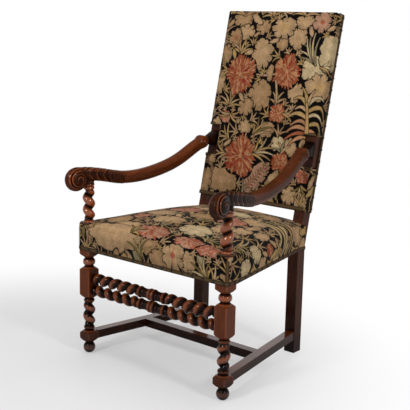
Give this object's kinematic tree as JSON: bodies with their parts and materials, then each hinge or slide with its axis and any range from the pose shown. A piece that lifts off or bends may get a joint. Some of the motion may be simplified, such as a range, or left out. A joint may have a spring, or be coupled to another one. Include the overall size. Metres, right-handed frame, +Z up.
{
  "type": "high-back armchair",
  "caption": "Joined walnut armchair with barley-twist legs and stretchers, scrolled carved arms and a tall raked back; seat and back stuffed and covered in needlepoint.",
  "frame": {"origin": "on the floor, under the middle of the chair's box", "axes": "+Z up, the chair faces -Y, +X to the right of someone who looks at its front"},
  "size_m": [0.647, 0.7727, 1.1555],
  "materials": {
    "walnut": "wax-polished dark walnut, worn lighter on the crests",
    "oak": "plain riven oak",
    "needlepoint": "floral wool needlepoint on a near-black ground",
    "braid": "woven galloon, brown",
    "lining": "plain dark cotton",
    "webbing": "jute webbing",
    "hessian": "plain hessian",
    "stuffing": "curled horsehair",
    "nails": "dark antiqued brass"
  },
  "bodies": {
    "root": {"front_leg_left": "walnut", "front_leg_right": "walnut", "rear_leg_left": "walnut", "rear_leg_right": "walnut", "seat_rail_front": "walnut", "seat_rail_rear": "walnut", "seat_rail_left": "walnut", "seat_rail_right": "walnut", "side_stretcher_left": "walnut", "side_stretcher_right": "walnut", "cross_stretcher": "walnut", "front_twist_stretcher_upper": "walnut", "front_twist_stretcher_lower": "walnut", "arm_left": "walnut", "arm_right": "walnut", "back_rail_top": "walnut", "back_rail_bottom": "walnut", "seat_rail_pegs": "oak", "seat_webbing_long": "webbing", "seat_webbing_cross": "webbing", "back_webbing": "webbing", "seat_hessian": "hessian", "back_hessian": "hessian", "seat_stuffing": "stuffing", "back_stuffing": "stuffing", "seat_cover": "needlepoint", "back_cover": "needlepoint", "back_lining": "lining", "seat_braid": "braid", "back_braid": "braid", "seat_nails": "nails", "back_nails": "nails"}
  },
  "joints": []
}
